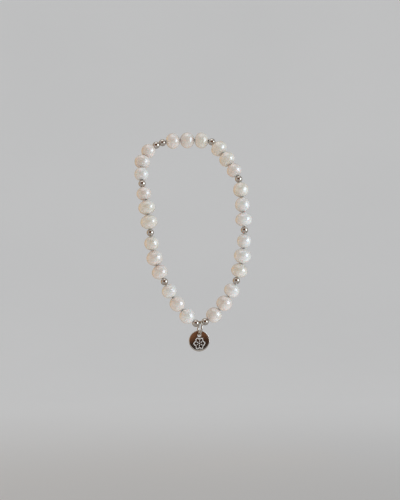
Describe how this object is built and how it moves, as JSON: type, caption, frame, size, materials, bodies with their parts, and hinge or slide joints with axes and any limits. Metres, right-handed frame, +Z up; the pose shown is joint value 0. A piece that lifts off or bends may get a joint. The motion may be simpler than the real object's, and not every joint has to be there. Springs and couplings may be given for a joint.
{
  "type": "pearl bracelet",
  "caption": "Stretch bracelet of small white pearls with polished steel balls between them and a round steel disc charm hanging on a jump ring.",
  "frame": {"origin": "underside of the pearl at the top of the loop, where the hanging bracelet rests on what holds it", "axes": "+Z up, +X to the right and +Y away from the viewer, as the bracelet hangs"},
  "size_m": [0.0419, 0.0172, 0.0783],
  "materials": {
    "nacre": "gloss",
    "steel_balls": "polished",
    "ring_steel": "polished",
    "charm_steel": "polished",
    "elastic": "satin"
  },
  "bodies": {
    "bracelet": {"pearl_01": "nacre", "pearl_02": "nacre", "pearl_03": "nacre", "pearl_04": "nacre", "pearl_05": "nacre", "pearl_06": "nacre", "pearl_07": "nacre", "pearl_08": "nacre", "pearl_09": "nacre", "pearl_10": "nacre", "pearl_11": "nacre", "pearl_12": "nacre", "pearl_13": "nacre", "pearl_14": "nacre", "pearl_15": "nacre", "pearl_16": "nacre", "pearl_17": "nacre", "pearl_18": "nacre", "pearl_19": "nacre", "pearl_20": "nacre", "pearl_21": "nacre", "pearl_22": "nacre", "pearl_23": "nacre", "pearl_24": "nacre", "pearl_25": "nacre", "pearl_26": "nacre", "pearl_27": "nacre", "ball_01": "steel_balls", "ball_02": "steel_balls", "ball_03": "steel_balls", "ball_04": "steel_balls", "ball_05": "steel_balls", "ball_06": "steel_balls", "ball_07": "steel_balls", "ball_08": "steel_balls", "ball_09": "steel_balls", "ball_10": "steel_balls", "ball_11": "steel_balls", "elastic_cord": "elastic"},
    "ring": {"jump_ring": "ring_steel"},
    "charm": {"charm_disc": "charm_steel"}
  },
  "joints": [
    {"name": "ring_swing", "type": "hinge", "parent": "bracelet", "child": "ring", "pos_m": [0.00476, -0.01044, -0.06276], "axis": [0.9541, 0.2736, -0.1219], "range_deg": [-90, 90]},
    {"name": "charm_swing", "type": "hinge", "parent": "ring", "child": "charm", "pos_m": [0.00433, -0.01057, -0.06642], "axis": [-0.2756, 0.9613, 0], "range_deg": [-45, 45]}
  ]
}
